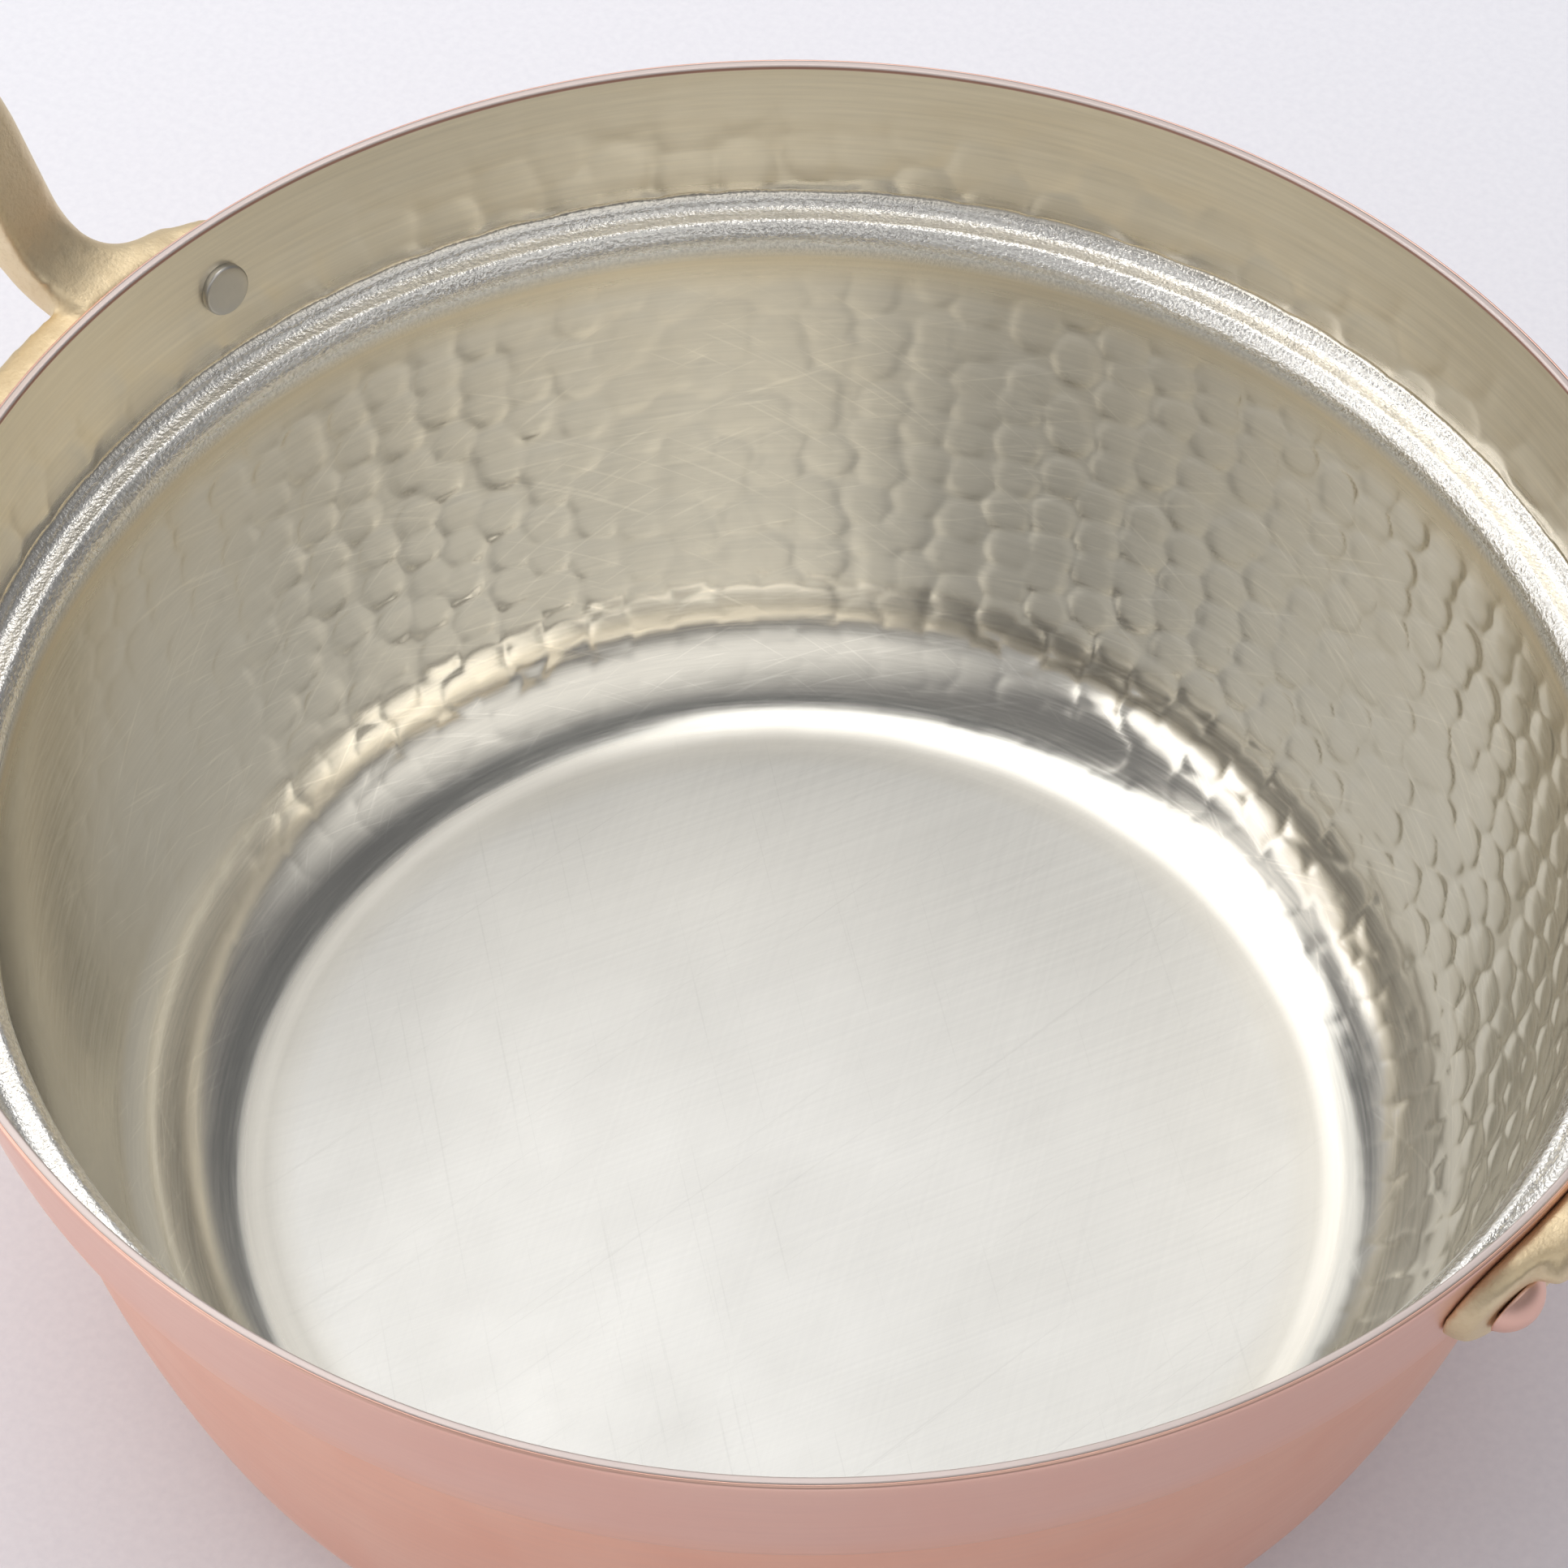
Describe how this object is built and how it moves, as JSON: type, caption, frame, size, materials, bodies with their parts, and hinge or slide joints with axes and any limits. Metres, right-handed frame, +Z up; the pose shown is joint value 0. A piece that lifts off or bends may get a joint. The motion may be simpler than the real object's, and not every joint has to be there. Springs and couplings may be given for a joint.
{
  "type": "copper pot",
  "caption": "Stepped copper pot with a hammered tin-lined inside, a ledge below a flared band, and upright cast brass loop handles riveted to the band.",
  "frame": {"origin": "centre of the flat base, on the surface that the pot stands on", "axes": "+Z up out of the mouth, +X through the right handle"},
  "size_m": [0.295, 0.2398, 0.1472],
  "materials": {
    "copper": "satin copper",
    "tin": "hammered satin tin",
    "brass": "matte sand-cast brass"
  },
  "bodies": {
    "root": {"copper_body": "copper", "tin_lining": "tin", "left_handle": "brass", "right_handle": "brass", "left_front_rivet": "copper", "left_back_rivet": "copper", "right_front_rivet": "copper", "right_back_rivet": "copper"}
  },
  "joints": []
}
